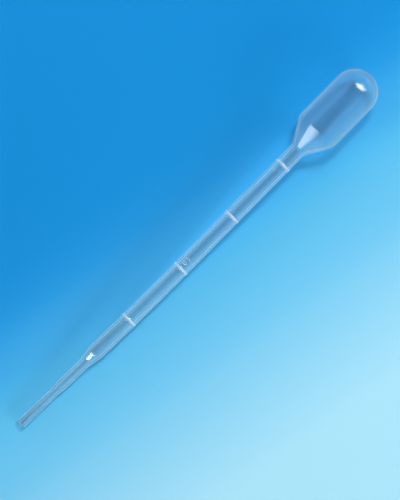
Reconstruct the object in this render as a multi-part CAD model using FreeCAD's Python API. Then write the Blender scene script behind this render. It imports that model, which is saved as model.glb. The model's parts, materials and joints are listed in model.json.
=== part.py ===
import FreeCAD, Part
import math
import os

# A 1 ml graduated transfer pipette, blow-moulded in one piece from a soft polyethylene tube: a drawn
# tip, a nozzle, a slightly bowed stem with raised graduation rings, and a round-ended squeeze bulb.
# Millimetres, Z up. It lies on the plane Z = 0, on the rim of its tip and a flat on the bulb's shoulder.
# A station is a distance along the axis from the cut end of the tip.

# Bores, which set the volumes that the rings measure
TIP_BORE = 1.5
NOZZLE_BORE = 1.9
STEM_BORE = 3.74
RING_VOLUME = 250.0  # cubic millimetres of liquid from one ring to the next
RING_COUNT = 4

# Walls, thinner where the tube was blown wider
TIP_END_WALL = 0.75
TIP_WALL = 0.65
NOZZLE_WALL = 0.765
STEM_WALL = 0.645
BULB_WALL = 0.45
CROWN_WALL = 0.75

# Lengths along the axis
TIP_LENGTH = 14.4
TIP_STEP_LENGTH = 3.1
NOZZLE_LENGTH = 10.8
NOZZLE_STEP_LENGTH = 3.7
RING_TO_NECK = 7.05
BULB_LENGTH = 17.6

# Squeeze bulb
BULB_DIAMETER = 14.84
CONE_HALF_ANGLE = 32.0
FLAT_WIDTH = 2.4  # small flat that the soft shoulder has taken where it rests, so that it doesn't roll

# Rounded corners of the outside
STEP_ROUNDING = 6.0
NECK_ROUNDING = 1.0
SHOULDER_ROUNDING = 1.0

# Raised rings
RING_WIDTH = 1.2
RING_HEIGHT = 0.18

# Sideways bow of the stem, an arc in the XY plane between straight ends
BOW_START_LENGTH = 2.0
BOW_LENGTH = 46.0
BOW_ANGLE = 1.48

# Parting line of the two mould halves, and the fin where the tube was pinched shut at the crown
PARTING_WIDTH = 0.2
PARTING_HEIGHT = 0.06
PINCH_WIDTH = 0.6
PINCH_HEIGHT = 0.2
PINCH_SPAN = 4.0

# Outer radii
TIP_END_RADIUS = TIP_BORE / 2 + TIP_END_WALL
TIP_RADIUS = TIP_BORE / 2 + TIP_WALL
NOZZLE_RADIUS = NOZZLE_BORE / 2 + NOZZLE_WALL
STEM_RADIUS = STEM_BORE / 2 + STEM_WALL
BULB_RADIUS = BULB_DIAMETER / 2

# Stations of the tip, the nozzle and the bow
NOZZLE_START = TIP_LENGTH + TIP_STEP_LENGTH
NOZZLE_END = NOZZLE_START + NOZZLE_LENGTH
STEM_START = NOZZLE_END + NOZZLE_STEP_LENGTH
BOW_START = STEM_START + BOW_START_LENGTH
BOW_END = BOW_START + BOW_LENGTH
BOW_RADIUS = BOW_LENGTH / math.radians(BOW_ANGLE)
BOW_CENTRE = FreeCAD.Vector(BOW_END, BOW_RADIUS, 0)


def bore_volume(start_bore, end_bore, length):
    """Volume held by a stretch of bore that widens evenly from one diameter to another."""
    return math.pi * length * (start_bore**2 + start_bore * end_bore + end_bore**2) / 12


VOLUME_BELOW_STEM = (
    bore_volume(TIP_BORE, TIP_BORE, TIP_LENGTH)
    + bore_volume(TIP_BORE, NOZZLE_BORE, TIP_STEP_LENGTH)
    + bore_volume(NOZZLE_BORE, NOZZLE_BORE, NOZZLE_LENGTH)
    + bore_volume(NOZZLE_BORE, STEM_BORE, NOZZLE_STEP_LENGTH)
)


def ring_station(number):
    """Where the tube holds as many ring volumes as the ring's number, counted from the tip."""
    volume_in_stem = number * RING_VOLUME - VOLUME_BELOW_STEM
    return STEM_START + volume_in_stem / bore_volume(STEM_BORE, STEM_BORE, 1)


# Stations of the bulb, past the last ring
CONE_SLOPE = math.tan(math.radians(CONE_HALF_ANGLE))
NECK = ring_station(RING_COUNT) + RING_TO_NECK
SHOULDER = NECK + (BULB_RADIUS - STEM_RADIUS) / CONE_SLOPE
CROWN = SHOULDER + BULB_LENGTH + BULB_RADIUS


def axis_frame(station):
    """Placement on the bowed axis at a station up to the bow's end, with X towards the bulb."""
    past_bow = max(0.0, BOW_START - station)
    turned = math.degrees((BOW_END - station - past_bow) / BOW_RADIUS)
    turn = FreeCAD.Rotation(FreeCAD.Vector(0, 0, 1), -turned)
    on_bow = BOW_CENTRE + turn.multVec(FreeCAD.Vector(-past_bow, -BOW_RADIUS, 0))
    return FreeCAD.Placement(on_bow, turn)


def rounded_path(corners):
    """Straight runs joined by tangent arcs, through corners given as (station, radius, rounding)."""
    points = [FreeCAD.Vector(station, radius, 0) for station, radius, rounding in corners]
    roundings = [rounding for station, radius, rounding in corners]
    edges = []
    start = points[0]
    for before, corner, after, rounding in zip(points, points[1:], points[2:], roundings[1:]):
        back = (before - corner).normalize()
        ahead = (after - corner).normalize()
        half_angle = back.getAngle(ahead) / 2
        inward = (back + ahead).normalize()
        arc_start = corner + back * (rounding / math.tan(half_angle))
        arc_middle = corner + inward * (rounding / math.sin(half_angle) - rounding)
        arc_end = corner + ahead * (rounding / math.tan(half_angle))
        edges.append(Part.LineSegment(start, arc_start).toShape())
        if rounding:
            edges.append(Part.Arc(arc_start, arc_middle, arc_end).toShape())
        start = arc_end
    if not start.isEqual(points[-1], 1e-7):
        edges.append(Part.LineSegment(start, points[-1]).toShape())
    return edges


def turned_solid(edges):
    """Solid made by turning a closed outline about the X axis."""
    outline = Part.Face(Part.Wire(edges))
    return outline.revolve(FreeCAD.Vector(0, 0, 0), FreeCAD.Vector(1, 0, 0), 360)


def closed_on_axis(corners):
    """Solid of revolution under a rounded path, closed by flat ends down to the axis."""
    first = (corners[0][0], 0, 0)
    last = (corners[-1][0], 0, 0)
    path = rounded_path([first] + corners + [last])
    axis = Part.LineSegment(FreeCAD.Vector(*last), FreeCAD.Vector(*first)).toShape()
    return turned_solid(path + [axis])


def tip_piece(tip_end, tip, nozzle, stem):
    """Straight drawn tip and nozzle with the given radii, in place on the bowed axis."""
    straight = closed_on_axis([
        (0, tip_end, 0),
        (TIP_LENGTH, tip, STEP_ROUNDING),
        (NOZZLE_START, nozzle, STEP_ROUNDING),
        (NOZZLE_END, nozzle, STEP_ROUNDING),
        (STEM_START, stem, STEP_ROUNDING),
        (BOW_START, stem, 0),
    ])
    straight.Placement = axis_frame(0)
    return straight


def bow_piece(radius):
    """Stretch of the stem that follows the bow, as a disc swept round the centre of the bow."""
    disc = Part.Face(Part.Wire(Part.makeCircle(
        radius, FreeCAD.Vector(BOW_END, 0, 0), FreeCAD.Vector(1, 0, 0))))
    return disc.revolve(BOW_CENTRE, FreeCAD.Vector(0, 0, 1), -BOW_ANGLE)


def bulb_piece(stem, bulb, crown, wall_at_neck, wall_at_shoulder):
    """Straight upper stem and bulb with the given radii; the walls set the inside off the outside."""
    half_turn = math.tan(math.radians(CONE_HALF_ANGLE / 2))
    return closed_on_axis([
        (BOW_END, stem, 0),
        (NECK + wall_at_neck * half_turn, stem, NECK_ROUNDING + wall_at_neck),
        (SHOULDER + wall_at_shoulder * half_turn, bulb, SHOULDER_ROUNDING - wall_at_shoulder),
        (crown, bulb, bulb),
    ])


def envelope(growth):
    """Outside of the pipette without its rings, with every radius larger by the growth."""
    pieces = [
        tip_piece(TIP_END_RADIUS + growth, TIP_RADIUS + growth, NOZZLE_RADIUS + growth,
                  STEM_RADIUS + growth),
        bow_piece(STEM_RADIUS + growth),
        bulb_piece(STEM_RADIUS + growth, BULB_RADIUS + growth, CROWN + growth, 0, 0),
    ]
    return pieces[0].fuse(pieces[1:])


def cavity():
    """Inside of the pipette, open at the tip; the crown is thicker than the side of the bulb."""
    pieces = [
        tip_piece(TIP_BORE / 2, TIP_BORE / 2, NOZZLE_BORE / 2, STEM_BORE / 2),
        bow_piece(STEM_BORE / 2),
        bulb_piece(STEM_BORE / 2, BULB_RADIUS - BULB_WALL, CROWN - CROWN_WALL, STEM_WALL, BULB_WALL),
    ]
    return pieces[0].fuse(pieces[1:])


def graduation_ring(number):
    """Raised ring, a circular segment turned about the axis with its chord buried at mid-wall."""
    arc_radius = ((RING_WIDTH / 2) ** 2 + RING_HEIGHT**2) / (2 * RING_HEIGHT)
    crest = STEM_RADIUS + RING_HEIGHT
    root = STEM_RADIUS - STEM_WALL / 2
    half_chord = math.sqrt(arc_radius**2 - (arc_radius - crest + root) ** 2)
    left = FreeCAD.Vector(-half_chord, root, 0)
    right = FreeCAD.Vector(half_chord, root, 0)
    arc = Part.Arc(left, FreeCAD.Vector(0, crest, 0), right).toShape()
    chord = Part.LineSegment(right, left).toShape()
    ring = turned_solid([arc, chord])
    station = ring_station(number)
    if station < BOW_END:
        ring.Placement = axis_frame(station)
    else:
        ring.translate(FreeCAD.Vector(station, 0, 0))
    return ring


def parting_line():
    """Fine ridge along both sides of stem and bulb, in the plane of the bow, where the mould closed."""
    ridge_slab = Part.makeBox(
        CROWN, 2 * BULB_DIAMETER, PARTING_WIDTH,
        FreeCAD.Vector(STEM_START, -BULB_DIAMETER, -PARTING_WIDTH / 2))
    return envelope(PARTING_HEIGHT).common(ridge_slab)


def pinch_fin():
    """Crescent fin on the crown, a disc in the parting plane that crosses the dome at its span."""
    dome_drop = BULB_RADIUS - math.sqrt(BULB_RADIUS**2 - (PINCH_SPAN / 2) ** 2)
    drop = dome_drop + PINCH_HEIGHT
    disc_radius = ((PINCH_SPAN / 2) ** 2 + drop**2) / (2 * drop)
    centre = FreeCAD.Vector(CROWN + PINCH_HEIGHT - disc_radius, 0, -PINCH_WIDTH / 2)
    return Part.makeCylinder(disc_radius, PINCH_WIDTH, centre)


def resting_tilt():
    """Degrees between the axis and the plane under the rim of the tip and the flat on the shoulder."""
    flat_depth = BULB_RADIUS - math.sqrt(BULB_RADIUS**2 - (FLAT_WIDTH / 2) ** 2)
    rounding_start = SHOULDER + SHOULDER_ROUNDING * math.tan(math.radians(CONE_HALF_ANGLE / 2))
    run = rounding_start - axis_frame(0).Base.x
    drop = BULB_RADIUS - SHOULDER_ROUNDING - TIP_END_RADIUS
    reach = SHOULDER_ROUNDING - flat_depth
    return math.degrees(math.atan2(drop, run) + math.asin(reach / math.hypot(run, drop)))


def resting_frame():
    """Placement that lays the straight axis down, with the rim of the tip on the plane Z = 0."""
    turn = FreeCAD.Rotation(FreeCAD.Vector(0, 1, 0), -resting_tilt())
    rim = axis_frame(0).Base - FreeCAD.Vector(0, 0, TIP_END_RADIUS)
    return FreeCAD.Placement(FreeCAD.Vector(0, 0, -turn.multVec(rim).z), turn)


def slab_under_bulb(top):
    """Block under the bulb, up to the given height."""
    return Part.makeBox(
        CROWN - NECK, 2 * BULB_DIAMETER, BULB_DIAMETER,
        FreeCAD.Vector(NECK, -BULB_DIAMETER, top - BULB_DIAMETER))


def pipette():
    """The whole pipette at rest, with the middle of its bounding box's underside at the origin."""
    rings = [graduation_ring(number) for number in range(1, RING_COUNT + 1)]
    outside = envelope(0).fuse(rings + [parting_line(), pinch_fin()])
    inside = cavity()
    outside.Placement = resting_frame()
    inside.Placement = resting_frame()
    wall = outside.cut(slab_under_bulb(0)).cut(inside.cut(slab_under_bulb(BULB_WALL)))
    shape = wall.removeSplitter()
    box = shape.optimalBoundingBox(False, False)
    shape.translate(FreeCAD.Vector(-box.Center.x, -box.Center.y, -box.ZMin))
    return shape


def main():
    os.makedirs("parts", exist_ok=True)
    shape = pipette()
    shape.exportStep("parts/pipette.step")
    print(f"{CROWN:.2f} mm long, {len(shape.Solids)} solid, {shape.Volume:.0f} cubic mm of wall")


if __name__ == "__main__":
    main()
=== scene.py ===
import json
import math

import bmesh
import bpy
from mathutils import Matrix, Vector


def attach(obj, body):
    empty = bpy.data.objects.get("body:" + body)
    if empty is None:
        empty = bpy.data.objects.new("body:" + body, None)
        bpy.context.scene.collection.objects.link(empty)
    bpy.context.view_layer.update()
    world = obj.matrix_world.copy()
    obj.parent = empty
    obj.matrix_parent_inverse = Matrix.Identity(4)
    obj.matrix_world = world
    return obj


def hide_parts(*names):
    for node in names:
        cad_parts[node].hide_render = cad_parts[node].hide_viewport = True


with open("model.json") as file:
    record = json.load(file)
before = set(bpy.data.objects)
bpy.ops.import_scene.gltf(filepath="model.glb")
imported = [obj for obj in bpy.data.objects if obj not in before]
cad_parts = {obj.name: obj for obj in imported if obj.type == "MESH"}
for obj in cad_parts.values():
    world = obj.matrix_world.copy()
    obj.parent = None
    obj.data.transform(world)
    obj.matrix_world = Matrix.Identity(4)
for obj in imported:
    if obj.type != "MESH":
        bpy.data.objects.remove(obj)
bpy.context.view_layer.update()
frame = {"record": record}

MM = 0.001
TINY, HAIR = 1e-6, 1e-4

# Sizes of the moulding in millimetres, as the CAD source has them. A station is a distance along
# the axis from the cut end of the tip.
TIP_LENGTH, NOZZLE_START, NOZZLE_END, STEM_START = 14.4, 17.5, 28.3, 32.0
TIP_END_RADIUS, TIP_RADIUS, NOZZLE_RADIUS = 1.5, 1.4, 1.715
STEM_RADIUS, BULB_RADIUS = 2.515, 7.42
TIP_BORE_RADIUS, NOZZLE_BORE_RADIUS, STEM_BORE_RADIUS = 0.75, 0.95, 1.87
STEM_WALL, BULB_WALL, CROWN_WALL = 0.645, 0.45, 0.75
STEP_ROUNDING, CONE_ROUNDING, RIM_ROUNDING, RIM_BORE_ROUNDING = 6.0, 1.0, 0.08, 0.06
CONE_HALF_ANGLE = math.radians(32.0)
RING_VOLUME, VOLUME_BELOW_STEM = 250.0, 87.066
RING_STATIONS = [
    STEM_START + (RING_VOLUME * number - VOLUME_BELOW_STEM) / (math.pi * STEM_BORE_RADIUS**2)
    for number in (1, 2, 3, 4)]
RING_HALF_WIDTH, RING_HEIGHT, RING_TO_NECK = 0.6, 0.18, 7.05
NECK = RING_STATIONS[3] + RING_TO_NECK
SHOULDER = NECK + (BULB_RADIUS - STEM_RADIUS) / math.tan(CONE_HALF_ANGLE)
BULB_LENGTH = 17.6
CROWN = SHOULDER + BULB_LENGTH + BULB_RADIUS
BOW_START, BOW_END, BOW_ANGLE = 34.0, 80.0, math.radians(1.48)
BOW_RADIUS = (BOW_END - BOW_START) / BOW_ANGLE
RIDGE_HALF_WIDTH, RIDGE_HEIGHT = 0.1, 0.06
FIN_HALF_WIDTH, FIN_HALF_SPAN, FIN_HEIGHT = 0.3, 2.0, 0.2
EASE = 0.03  # how far a ridge or the fin takes to rise, to each side of its edge
PLAIN_STEM = STEM_START + 1.0  # from here on the parting ridges dive under what stands on the stem

# The numerals, as strokes of points (along, up), before scaling
ZERO_POINTS = 24
ZERO_STROKE = [
    (0.38 - 0.34 * math.cos(math.tau * k / ZERO_POINTS),
     0.75 + 0.66 * math.sin(math.tau * k / ZERO_POINTS))
    for k in range(ZERO_POINTS + 1)]
POINT_STROKE = [(1.04, 0.12), (1.14, 0.12)]
FIVE_STROKE = [
    (2.04, 1.41), (1.50, 1.41), (1.44, 0.84), (1.57, 0.90), (1.74, 0.92), (1.91, 0.86),
    (2.03, 0.71), (2.07, 0.51), (2.03, 0.31), (1.91, 0.15), (1.74, 0.09), (1.56, 0.11),
    (1.42, 0.20)]
HALF = (ZERO_STROKE, POINT_STROKE, FIVE_STROKE)
ONE = ([(0.12, 1.12), (0.38, 1.41), (0.38, 0.09)],)
NUMERAL_SCALE, STROKE_HALF_WIDTH, STROKE_HEIGHT = 1.15, 0.17, 0.05
# Across a stroke, (off, height) as shares of its half width and its height
STROKE_SECTION = ((-1.0, -0.3), (-0.6, 0.7), (0.0, 1.0), (0.6, 0.7), (1.0, -0.3))
HALF_STATION, HALF_ASIDE = RING_STATIONS[1] + 1.6, -0.6
ONE_STATION, ONE_ASIDE = RING_STATIONS[3] - 3.6, 0.1

# Offsets from the parting plane, in millimetres, where the mesh has a column of points, so that the
# ridges and the fin are crisp, the most of the radius that they may take up, and the number of
# columns evenly spread between them
CLOSE_COLUMNS, MOST_OFFSET, EVEN_COLUMNS = (0.05, 0.1, 0.14, 0.27, 0.33), 0.9, 40

# How fine the mesh is along the axis: the longest straight run in millimetres, the degrees between
# the points of an arc, and the rows on each side of a ring. The next row stands just beside a ring,
# and the one after it is clear of that.
LONGEST_RUN, ARC_STEP, RING_ROWS, RING_FOOT, RING_CLEARANCE = 1.0, 3.5, 6, 0.03, 0.05
RING_SLOPE = 0.5  # how much of a ring's half width its milk takes to come on

# The straight part of the axis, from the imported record
mounts = {mount["name"]: mount for mount in frame["record"]["mounts"]}
AHEAD = -Vector(mounts["stem"]["axis"]).normalized()
ASIDE = Vector((0.0, 1.0, 0.0))
ACROSS = AHEAD.cross(ASIDE)
START = Vector(mounts["stem"]["pos_m"]) - AHEAD * (RING_STATIONS[2] + RING_STATIONS[3]) / 2 * MM


def smooth(x):
    """0 up to 0, 1 from 1 on, and a smooth rise between."""
    x = min(1.0, max(0.0, x))
    return x * x * (3 - 2 * x)


def on_axis(station):
    """How far ahead and aside the axis lies at a station, and the angle that it turns there."""
    if station > BOW_END:
        return station, 0.0, 0.0
    angle = min(BOW_ANGLE, (BOW_END - station) / BOW_RADIUS)
    past = max(0.0, BOW_START - station)
    along = BOW_END - BOW_RADIUS * math.sin(angle) - past * math.cos(angle)
    return along, BOW_RADIUS * (1 - math.cos(angle)) + past * math.sin(angle), angle


def in_place(station, radius, angle, push=0.0):
    """Point in metres at a station, at a radius and an angle about the axis, pushed ahead."""
    along, aside, turn = on_axis(station)
    side = radius * math.cos(angle)
    along += side * math.sin(turn) + push
    aside += side * math.cos(turn)
    return START + (AHEAD * along + ASIDE * aside + ACROSS * radius * math.sin(angle)) * MM


def rounded_path(corners):
    """Points (station, radius) along straight runs joined by tangent arcs. A corner is a station, a
    radius and how far the corner is rounded."""
    path = [Vector(corners[0][:2])]
    for i in range(1, len(corners) - 1):
        before, corner, after = (Vector(corners[i + k][:2]) for k in (-1, 0, 1))
        rounding = corners[i][2]
        back, on = (before - corner).normalized(), (after - corner).normalized()
        bend = math.pi - back.angle(on)
        if rounding < TINY:
            path.append(corner)
            continue
        reach = rounding * math.tan(bend / 2)
        centre = corner + (back + on).normalized() * (rounding / math.cos(bend / 2))
        start, end = corner + back * reach - centre, corner + on * reach - centre
        steps = max(3, math.ceil(math.degrees(bend) / ARC_STEP))
        for k in range(steps + 1):
            t = k / steps
            path.append(centre + (
                start * math.sin((1 - t) * bend) + end * math.sin(t * bend)) / math.sin(bend))
    path.append(Vector(corners[-1][:2]))
    return path


def spaced(path):
    """The path with its long runs divided."""
    points = [path[0]]
    for here, there in zip(path, path[1:]):
        run = (there - here).length
        if run < TINY:
            continue
        pieces = max(1, math.ceil(run / LONGEST_RUN))
        points += [here.lerp(there, k / pieces) for k in range(1, pieces + 1)]
    return points


def with_rings(path):
    """The path with the points of the raised rings, which stand on the stem."""
    for station in RING_STATIONS:
        reach = RING_HALF_WIDTH + RING_FOOT
        ring = [Vector((station - reach, STEM_RADIUS))]
        for k in range(-RING_ROWS, RING_ROWS + 1):
            x = RING_HALF_WIDTH * k / RING_ROWS
            height = RING_HEIGHT * (1 - (k / RING_ROWS) ** 2)
            ring.append(Vector((station + x, STEM_RADIUS + height)))
        ring.append(Vector((station + reach, STEM_RADIUS)))
        before = [p for p in path if p.x < station - reach - RING_CLEARANCE]
        after = [p for p in path if p.x > station + reach + RING_CLEARANCE]
        path = before + ring + after
    return path


def profile(corners, end, radius):
    """Path from the middle of the cut rim, by the corners, round a dome of a radius to its pole.
    The dome's rounding is a hair under its radius, so that its arc ends just before the pole."""
    rim = (0.0, (TIP_END_RADIUS + TIP_BORE_RADIUS) / 2, 0.0)
    dome = [(end, radius, radius - HAIR), (end, 0.0, 0.0)]
    return spaced(rounded_path([rim] + corners + dome))


def outside_path():
    return with_rings(profile([
        (0.0, TIP_END_RADIUS, RIM_ROUNDING),
        (TIP_LENGTH, TIP_RADIUS, STEP_ROUNDING),
        (NOZZLE_START, NOZZLE_RADIUS, STEP_ROUNDING),
        (NOZZLE_END, NOZZLE_RADIUS, STEP_ROUNDING),
        (STEM_START, STEM_RADIUS, STEP_ROUNDING),
        (NECK, STEM_RADIUS, CONE_ROUNDING),
        (SHOULDER, BULB_RADIUS, CONE_ROUNDING),
    ], CROWN, BULB_RADIUS))


def inside_path():
    half_turn = math.tan(CONE_HALF_ANGLE / 2)
    radius = BULB_RADIUS - BULB_WALL
    return profile([
        (0.0, TIP_BORE_RADIUS, RIM_BORE_ROUNDING),
        (TIP_LENGTH, TIP_BORE_RADIUS, STEP_ROUNDING),
        (NOZZLE_START, NOZZLE_BORE_RADIUS, STEP_ROUNDING),
        (NOZZLE_END, NOZZLE_BORE_RADIUS, STEP_ROUNDING),
        (STEM_START, STEM_BORE_RADIUS, STEP_ROUNDING),
        (NECK + STEM_WALL * half_turn, STEM_BORE_RADIUS, CONE_ROUNDING + STEM_WALL),
        (SHOULDER + BULB_WALL * half_turn, radius, CONE_ROUNDING - BULB_WALL),
    ], CROWN - CROWN_WALL, radius)


def round_of_angles(radius):
    """Angles of the columns of points: close ones by the parting plane, and even ones between."""
    scale = min(1.0, MOST_OFFSET * radius / CLOSE_COLUMNS[-1])
    close = [math.asin(scale * offset / radius) for offset in CLOSE_COLUMNS]
    step = (math.pi - 2 * close[-1]) / (EVEN_COLUMNS + 1)
    quarter = close + [close[-1] + step * k for k in range(1, EVEN_COLUMNS + 1)]
    upper = quarter + [math.pi - angle for angle in reversed(close)]
    return upper + [angle + math.pi for angle in upper]


def eased(half_width, across):
    """1 inside a half width and 0 outside it, with a short smooth change between."""
    return smooth((half_width + EASE - abs(across)) / (2 * EASE))


def ridge_growth(station, radius, across):
    """Height of the parting ridge over the wall. It ends at the stem's foot and dives under the
    rings."""
    if station < STEM_START:
        return 0.0
    over_stem = radius - STEM_RADIUS if PLAIN_STEM < station < NECK else 0.0
    return max(0.0, RIDGE_HEIGHT * eased(RIDGE_HALF_WIDTH, across) - over_stem)


def fin_push(station, aside, across, reach):
    """How far ahead the fin on the crown stands out of the dome."""
    if station < SHOULDER + BULB_LENGTH or abs(aside) > FIN_HALF_SPAN:
        return 0.0
    drop = BULB_RADIUS - math.sqrt(BULB_RADIUS**2 - FIN_HALF_SPAN**2) + FIN_HEIGHT
    disc = (FIN_HALF_SPAN**2 + drop**2) / (2 * drop)
    top = CROWN + FIN_HEIGHT - disc + math.sqrt(disc**2 - aside**2)
    return max(0.0, top - reach) * eased(FIN_HALF_WIDTH, across)


def ring_share(station):
    """1 on a ring, 0 on the plain wall, with a smooth change on the ring's slope."""
    nearest = min(abs(station - ring) for ring in RING_STATIONS)
    return smooth((RING_HALF_WIDTH - nearest) / (RING_SLOPE * RING_HALF_WIDTH))


def smooth_mesh(bm, name):
    """Mesh of what bm holds, with its faces turned outward and smooth. It frees bm."""
    bmesh.ops.recalc_face_normals(bm, faces=bm.faces)
    mesh = bpy.data.meshes.new(name)
    bm.to_mesh(mesh)
    bm.free()
    for polygon in mesh.polygons:
        polygon.use_smooth = True
    return mesh


def wall_mesh():
    """The whole wall as one closed mesh: the outside, then the bore, which meet at the cut rim. Its
    points say where the rings are, for their milk, and where the wall is thick, from 0 to 1."""
    bm = bmesh.new()
    milkiness = bm.verts.layers.float.new("milkiness")
    thickness = bm.verts.layers.float.new("thickness")

    def skin(path, outer):
        rounds = []
        for i, (station, radius) in enumerate(path[:-1]):
            before, after = path[max(0, i - 1)], path[i + 1]
            slope = (after - before).normalized()
            verts = []
            for angle in round_of_angles(radius):
                across = radius * math.sin(angle)
                grown = ridge_growth(station, radius, across) if outer else 0.0
                at, out = station - slope.y * grown, radius + slope.x * grown
                push = fin_push(station, radius * math.cos(angle), across, at) if outer else 0.0
                point = in_place(at, out, angle, push)
                if station > NECK:  # the flat that the bulb rests on, and the full wall behind it
                    point.z = max(point.z, 0.0 if outer else BULB_WALL * MM)
                vert = bm.verts.new(point)
                vert[milkiness] = ring_share(station) if outer else 0.0
                vert[thickness] = 1 - smooth((station - NECK) / (SHOULDER - NECK))
                verts.append(vert)
            rounds.append(verts)
        station = path[-1].x
        pole = bm.verts.new(in_place(station + (FIN_HEIGHT if outer else 0.0), 0.0, 0.0))
        count = len(rounds[0])
        for here, there in zip(rounds, rounds[1:]):
            for k in range(count):
                j = (k + 1) % count
                quad = (here[k], there[k], there[j], here[j])
                bm.faces.new(quad if outer else quad[::-1])
        for k in range(count):
            j = (k + 1) % count
            last = (rounds[-1][k], pole, rounds[-1][j])
            bm.faces.new(last if outer else last[::-1])

    skin(outside_path(), True)
    skin(inside_path(), False)
    bmesh.ops.remove_doubles(bm, verts=bm.verts, dist=TINY / 100)
    return smooth_mesh(bm, "pipette_wall")


def numeral_mesh(name, strokes, station, aside):
    """Raised strokes on top of the stem, milky on top. A stroke is a run of points (along, up) in
    millimetres from the numeral's corner, at a station and a distance aside, and it is closed where
    its ends meet."""
    bm = bmesh.new()
    milkiness = bm.verts.layers.float.new("milkiness")
    for stroke in strokes:
        points = [Vector(point) * NUMERAL_SCALE for point in stroke]
        closed = (points[0] - points[-1]).length < TINY
        if closed:
            points.pop()
        rows = []
        for i, point in enumerate(points):
            before = points[i - 1] if closed or i > 0 else point
            after = points[(i + 1) % len(points)] if closed or i < len(points) - 1 else point
            along = (after - before).normalized()
            row = []
            for off, height in STROKE_SECTION:
                spot = point + Vector((-along.y, along.x)) * off * STROKE_HALF_WIDTH
                angle = math.pi / 2 - (aside + spot.y) / STEM_RADIUS
                vert = bm.verts.new(in_place(
                    station + spot.x, STEM_RADIUS + height * STROKE_HEIGHT, angle))
                vert[milkiness] = 1.0 if height > 0 else 0.0
                row.append(vert)
            rows.append(row)
        joints = list(zip(rows, rows[1:] + rows[:1])) if closed else list(zip(rows, rows[1:]))
        for here, there in joints:
            for k in range(len(STROKE_SECTION)):
                j = (k + 1) % len(STROKE_SECTION)
                bm.faces.new((here[k], here[j], there[j], there[k]))
        if not closed:
            bm.faces.new(rows[0])
            bm.faces.new(rows[-1][::-1])
    return smooth_mesh(bm, name)


def new_object(name, mesh):
    piece = bpy.data.objects.new(name, mesh)
    bpy.context.scene.collection.objects.link(piece)
    return piece


# The look of the plastic. Its milk is VEIL where the wall is seen square on and EDGE more edge on,
# which sets in by EDGE_POWER. THICK_VEIL and THICK_EDGE come on top where the wall is thick, and
# RING on a ring that is seen square on. THROUGH is the share of the milk's light that comes from
# behind it. The clear share has SQUARE_ON_SHADE_COLOUR where it is seen square on and is white from
# CLEAR_SLANT on. This is painted shade: it darkens the middle of the tube and bulb, where the wall
# faces the camera, to stand for the shade seen through them there.
MILK_COLOUR, RING_COLOUR = (0.58, 0.86, 1.0), (0.80, 0.88, 1.0)
VEIL, THICK_VEIL, EDGE, THICK_EDGE, EDGE_POWER = 0.008, 0.032, 0.26, 0.74, 2.8
RING, THROUGH = 0.5, 0.25
SQUARE_ON_SHADE_COLOUR, CLEAR_SLANT = (0.935, 0.94, 0.95), 0.16

# The light that reaches the floor through the wall, from square on to edge on, and how much nearer
# to edge on a thick wall counts
SHADES = ((0.99, 0.99, 0.99), (0.83, 0.87, 0.91), (0.0, 0.02, 0.04))
THICK_SHADE = 0.35

# A thin haze inside the wall, and the gloss, which MOST_SHINE caps
HAZE_COLOUR, HAZE = (0.88, 0.93, 1.0), 80.0
IOR, MOST_SHINE, BUMP, BUMP_DISTANCE = 1.51, 0.3, 0.05, 0.02 * MM

# Noises, as scale, detail and stretch along the pipette, the range that most of a noise keeps to,
# and what the streaks vary: the gloss's roughness, and the milk, by a factor
STREAKS, ORANGE_PEEL = (700.0, 3.0, 12.0), (1500.0, 2.0, 1.5)
NOISE_RANGE = (0.3, 0.7)
ROUGHNESS, UNEVENNESS = (0.05, 0.09), (0.8, 1.2)


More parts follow.
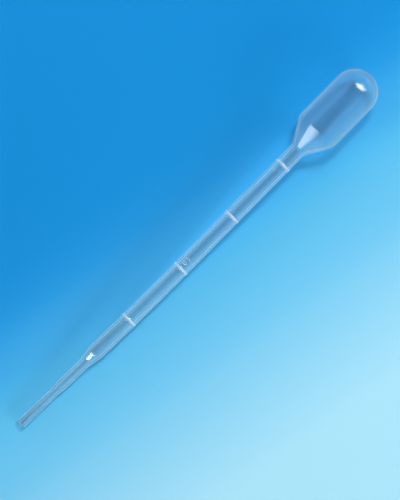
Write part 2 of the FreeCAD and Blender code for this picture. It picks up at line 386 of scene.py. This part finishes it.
def polyethylene():
    """Unpigmented polyethylene: nearly clear through a thin wall, milky where it is seen edge on,
    whiter on a ring, with the faint lengthwise streaks and orange peel of a blow moulding."""
    material = bpy.data.materials.new("translucent_polyethylene")
    material.use_nodes = True
    nodes, links = material.node_tree.nodes, material.node_tree.links

    def node(kind, **settings):
        made = nodes.new(kind)
        for key, value in settings.items():
            setattr(made, key, value)
        return made

    def feed(target, *values):
        """The node, with its first inputs linked or set in order. None leaves one as it is."""
        for socket, value in enumerate(values):
            if isinstance(value, bpy.types.NodeSocket):
                links.new(value, target.inputs[socket])
            elif value is not None:
                target.inputs[socket].default_value = value
        return target

    def math_node(operation, *values):
        return feed(node("ShaderNodeMath", operation=operation), *values).outputs[0]

    def mixed(share, first, second):
        return feed(node("ShaderNodeMixShader"), share, first, second).outputs[0]

    def noise(scale, detail, stretch):
        place = feed(node("ShaderNodeMapping"), nodes["Texture Coordinate"].outputs["Object"])
        place.inputs["Scale"].default_value = (1.0 / stretch, 1.0, 1.0)
        return feed(node("ShaderNodeTexNoise"), place.outputs[0], None, scale, detail).outputs[0]

    def remapped(value, low, high):
        """A noise's usual range, spread from low to high."""
        return feed(node("ShaderNodeMapRange"), value, *NOISE_RANGE, low, high).outputs[0]

    node("ShaderNodeTexCoord", name="Texture Coordinate")
    streaks = noise(*STREAKS)
    bump = node("ShaderNodeBump")
    bump.inputs["Strength"].default_value = BUMP
    bump.inputs["Distance"].default_value = BUMP_DISTANCE
    links.new(noise(*ORANGE_PEEL), bump.inputs["Height"])
    roughness = remapped(streaks, *ROUGHNESS)

    # The milk, part of which lets light through from behind, and the gloss over it
    ring = node("ShaderNodeAttribute", attribute_name="milkiness").outputs["Fac"]
    whiteness = node("ShaderNodeValToRGB")
    for element, colour in zip(whiteness.color_ramp.elements, (MILK_COLOUR, RING_COLOUR)):
        element.color = colour + (1.0,)
    links.new(ring, whiteness.inputs["Fac"])
    matt = nodes["Principled BSDF"]
    matt.inputs["Specular IOR Level"].default_value = 0.0
    links.new(whiteness.outputs["Color"], matt.inputs["Base Color"])
    links.new(roughness, matt.inputs["Roughness"])
    glow = node("ShaderNodeBsdfTranslucent")
    links.new(whiteness.outputs["Color"], glow.inputs["Color"])
    milk = mixed(THROUGH, matt.outputs[0], glow.outputs[0])
    gloss = node("ShaderNodeBsdfAnisotropic")
    links.new(roughness, gloss.inputs["Roughness"])
    links.new(bump.outputs[0], gloss.inputs["Normal"])

    # The clear share is a little darker where the wall is seen square on. This is a painted shade
    # down the middle of the tube and bulb.
    facing = node("ShaderNodeLayerWeight").outputs["Facing"]
    slant = feed(
        node("ShaderNodeMapRange", interpolation_type="SMOOTHSTEP"), facing, 0.0, CLEAR_SLANT)
    square_on_shade = node("ShaderNodeValToRGB")
    square_on_shade.color_ramp.elements[0].color = SQUARE_ON_SHADE_COLOUR + (1.0,)
    clear = node("ShaderNodeBsdfTransparent")
    links.new(slant.outputs[0], square_on_shade.inputs["Fac"])
    links.new(square_on_shade.outputs["Color"], clear.inputs["Color"])

    # How much of the wall is milk and how much is clear
    thickness = node("ShaderNodeAttribute", attribute_name="thickness").outputs["Fac"]
    slanted = math_node("POWER", facing, EDGE_POWER)
    most = math_node("MULTIPLY_ADD", thickness, THICK_EDGE, EDGE)
    veil = math_node("MULTIPLY_ADD", thickness, THICK_VEIL, VEIL)
    plain = math_node("MULTIPLY_ADD", slanted, most, veil)
    ringed = math_node("MULTIPLY", ring, math_node("MULTIPLY_ADD", facing, -RING, RING))
    share = math_node("MULTIPLY_ADD", plain, remapped(streaks, *UNEVENNESS), ringed)
    wall = mixed(share, clear.outputs[0], milk)

    # Only the outward side of a face shines.
    fresnel = node("ShaderNodeFresnel")
    fresnel.inputs["IOR"].default_value = IOR
    outward = math_node("SUBTRACT", 1.0, node("ShaderNodeNewGeometry").outputs["Backfacing"])
    shine = math_node("MULTIPLY", math_node("MINIMUM", fresnel.outputs[0], MOST_SHINE), outward)
    skin = mixed(shine, wall, gloss.outputs[0])

    # The light that gets through to the floor, most of it square on and little of it edge on
    dimming = node("ShaderNodeValToRGB")
    dimming.color_ramp.elements.new(0.5)
    for element, colour in zip(dimming.color_ramp.elements, SHADES):
        element.color = colour + (1.0,)
    shade = node("ShaderNodeBsdfTransparent")
    links.new(math_node("MULTIPLY_ADD", thickness, THICK_SHADE, facing), dimming.inputs["Fac"])
    links.new(dimming.outputs["Color"], shade.inputs["Color"])
    seen = mixed(node("ShaderNodeLightPath").outputs["Is Shadow Ray"], skin, shade.outputs[0])
    links.new(seen, nodes["Material Output"].inputs["Surface"])
    haze = node("ShaderNodeVolumeScatter")
    haze.inputs["Color"].default_value = HAZE_COLOUR + (1.0,)
    haze.inputs["Density"].default_value = HAZE
    links.new(haze.outputs[0], nodes["Material Output"].inputs["Volume"])
    return material


# The floor: its colours by how far across it they lie, the direction in which they pass, and, in
# metres, the span that they cover, the half side of the sheet and the gap that keeps it just under
# the pipette. The colours are painted light and shade. They are deeper blue under the pipette and
# rise steeply just past its -Y side, so that a painted shadow lies along that side. Further out
# they are paler blue, a painted pool of light.
FLOOR_LIGHT_AND_SHADE = (
    (0.0, (0.010, 0.24, 0.60)),
    (0.22, (0.0105, 0.245, 0.61)),
    (0.33, (0.018, 0.285, 0.665)),
    (0.40, (0.049, 0.360, 0.712)),
    (0.455, (0.060, 0.382, 0.73)),
    (0.49, (0.082, 0.455, 0.765)),
    (0.525, (0.100, 0.470, 0.765)),
    (0.60, (0.13, 0.51, 0.785)),
    (0.73, (0.17, 0.54, 0.80)),
    (1.0, (0.42, 0.74, 0.86)),
)
FLOOR_DIRECTION, FLOOR_SPAN = (-0.19, -1.0, 0.0), (-0.06, 0.07)
FLOOR_HALF_SIDE, FLOOR_GAP, FLOOR_ROUGHNESS = 0.4, 0.00002, 0.9


def floor_material():
    """Blue paper, graded from a deeper to a paler blue across the pipette. The grade is painted
    light and shade, with a painted shadow along the pipette.
    """
    material = bpy.data.materials.new("floor")
    material.use_nodes = True
    nodes, links = material.node_tree.nodes, material.node_tree.links
    shader = nodes["Principled BSDF"]
    shader.inputs["Roughness"].default_value = FLOOR_ROUGHNESS
    shader.inputs["Specular IOR Level"].default_value = 0.0
    place = nodes.new("ShaderNodeTexCoord")
    across = nodes.new("ShaderNodeVectorMath")
    across.operation = "DOT_PRODUCT"
    across.inputs[1].default_value = FLOOR_DIRECTION
    reach = nodes.new("ShaderNodeMapRange")
    reach.inputs["From Min"].default_value, reach.inputs["From Max"].default_value = FLOOR_SPAN
    light_and_shade = nodes.new("ShaderNodeValToRGB")
    light_and_shade.color_ramp.interpolation = "B_SPLINE"
    for _ in range(len(FLOOR_LIGHT_AND_SHADE) - 2):
        light_and_shade.color_ramp.elements.new(0.5)
    for element, (position, colour) in zip(light_and_shade.color_ramp.elements, FLOOR_LIGHT_AND_SHADE):
        element.position, element.color = position, colour + (1.0,)
    links.new(place.outputs["Object"], across.inputs[0])
    links.new(across.outputs["Value"], reach.inputs["Value"])
    links.new(reach.outputs["Result"], light_and_shade.inputs["Fac"])
    links.new(light_and_shade.outputs["Color"], shader.inputs["Base Color"])
    return material


# How far from its peak a lamp starts to fade and has faded, as shares of its sides
FADE_START, FADE_END = 0.15, 0.5


def area_light(name, station, ahead, aside, distance, size, power, lights, shines, peak=0.5):
    """Softbox that faces a station of the pipette from a distance, at angles in degrees from
    straight up there, ahead along the pipette and aside of it. One that lights falls on what is
    dull, and one that shines is reflected. Its peak lies that share of the way up its height."""
    data = bpy.data.lights.new(name, "AREA")
    data.shape = "RECTANGLE"
    data.size, data.size_y = size
    data.energy = power
    data.use_nodes = True
    nodes, links = data.node_tree.nodes, data.node_tree.links
    place = nodes.new("ShaderNodeNewGeometry")
    centred = nodes.new("ShaderNodeVectorMath")
    centred.operation = "SUBTRACT"
    centred.inputs[1].default_value = (0.5, peak, 0.0)
    reach = nodes.new("ShaderNodeVectorMath")
    reach.operation = "LENGTH"
    falloff = nodes.new("ShaderNodeMapRange")
    falloff.interpolation_type = "SMOOTHSTEP"
    falloff.inputs["From Min"].default_value = FADE_END
    falloff.inputs["From Max"].default_value = FADE_START
    links.new(place.outputs["Parametric"], centred.inputs[0])
    links.new(centred.outputs["Vector"], reach.inputs[0])
    links.new(reach.outputs["Value"], falloff.inputs["Value"])
    links.new(falloff.outputs["Result"], nodes["Emission"].inputs["Strength"])
    lamp = bpy.data.objects.new(name, data)
    bpy.context.scene.collection.objects.link(lamp)
    a, b = math.radians(ahead), math.radians(aside)
    towards = Vector((math.sin(a) * math.cos(b), math.sin(b), math.cos(a) * math.cos(b)))
    down = towards.cross(Vector((0.0, 1.0, 0.0))).normalized()
    lamp.location = in_place(station, 0.0, 0.0) + towards * distance
    lamp.rotation_euler = Matrix((down, towards.cross(down), towards)).transposed().to_euler()
    lamp.visible_glossy = shines
    lamp.visible_diffuse = lamp.visible_volume_scatter = lamp.visible_transmission = lights


plastic = polyethylene()
pipette = new_object("pipette_wall", wall_mesh())
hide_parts("pipette")
half = new_object("numeral_half", numeral_mesh("numeral_half", HALF, HALF_STATION, HALF_ASIDE))
one = new_object("numeral_one", numeral_mesh("numeral_one", ONE, ONE_STATION, ONE_ASIDE))
for piece in (pipette, half, one):
    piece.data.materials.append(plastic)
    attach(piece, "root")

floor_mesh = bpy.data.meshes.new("floor")
floor_bm = bmesh.new()
bmesh.ops.create_grid(floor_bm, x_segments=1, y_segments=1, size=FLOOR_HALF_SIDE)
floor_bm.to_mesh(floor_mesh)
floor_bm.free()
floor = new_object("floor", floor_mesh)
floor.location.z = -FLOOR_GAP
floor.data.materials.append(floor_material())

# The world lights the scene little, and shows pale blue beyond the floor's edge.
SHOWN_COLOUR, LIGHTING_COLOUR, LIGHTING = (0.30, 0.66, 0.90), (0.62, 0.86, 1.0), 0.16
world = bpy.data.worlds.new("studio")
world.use_nodes = True
world_nodes, world_links = world.node_tree.nodes, world.node_tree.links
path = world_nodes.new("ShaderNodeLightPath")
shown = world_nodes["Background"]
shown.inputs["Color"].default_value = SHOWN_COLOUR + (1.0,)
lighting = world_nodes.new("ShaderNodeBackground")
lighting.inputs["Color"].default_value = LIGHTING_COLOUR + (1.0,)
lighting.inputs["Strength"].default_value = LIGHTING
either = path.outputs["Is Camera Ray"]
for ray in ("Is Glossy Ray", "Is Transmission Ray"):
    larger = world_nodes.new("ShaderNodeMath")
    larger.operation = "MAXIMUM"
    world_links.new(either, larger.inputs[0])
    world_links.new(path.outputs[ray], larger.inputs[1])
    either = larger.outputs["Value"]
choice = world_nodes.new("ShaderNodeMixShader")
world_links.new(either, choice.inputs["Fac"])
world_links.new(lighting.outputs["Background"], choice.inputs[1])
world_links.new(shown.outputs["Background"], choice.inputs[2])
world_links.new(choice.outputs["Shader"], world_nodes["World Output"].inputs["Surface"])
bpy.context.scene.world = world

# name, station, ahead, aside, distance, size, power, lights, shines, peak
area_light("cone_softbox", NECK + 4, -65, 1, 0.6, (0.26, 0.80), 7.5, False, True, 0.35)
area_light("step_softbox", 30.2, -28.8, 4, 0.15, (0.018, 0.34), 0.45, False, True)
area_light("dome_softbox", CROWN, 23.5, -4, 0.6, (0.32, 0.75), 16.0, False, True)
area_light("key_softbox", 77.5, 30, 8, 1.0, (0.36, 0.36), 16.6, True, False)
area_light("side_softbox", 77.5, 0, 38, 0.6, (0.8, 0.40), 0.8, True, True)
area_light("left_softbox", 60.0, 0, 68, 1.2, (1.6, 0.6), 15.2, True, False)
area_light("rim_softbox", 60.0, 0, -68, 1.2, (1.6, 0.6), 38.0, True, False)

# The camera looks down, leaning a little towards the foot of the picture, and is turned so that the
# pipette lies along the picture's diagonal.
TURN, LEAN, DISTANCE = math.radians(45.36), math.radians(6.0), 0.8
AIM, LENS = Vector((0.0004, -0.0002, 0.005)), 183.9
UP = Vector((math.sin(TURN), math.cos(TURN), 0.0))
camera = bpy.data.objects.new("camera", bpy.data.cameras.new("camera"))
bpy.context.scene.collection.objects.link(camera)
back = Vector((0.0, 0.0, 1.0)) * math.cos(LEAN) - UP * math.sin(LEAN)
camera.location = AIM + back * DISTANCE
up = (UP - back * UP.dot(back)).normalized()
right = up.cross(back)
camera.rotation_euler = Matrix((right, up, back)).transposed().to_euler()
camera.data.lens = LENS
camera.data.clip_start, camera.data.clip_end = 0.05, 20.0
bpy.context.scene.camera = camera

bpy.context.scene.view_settings.view_transform = "Standard"
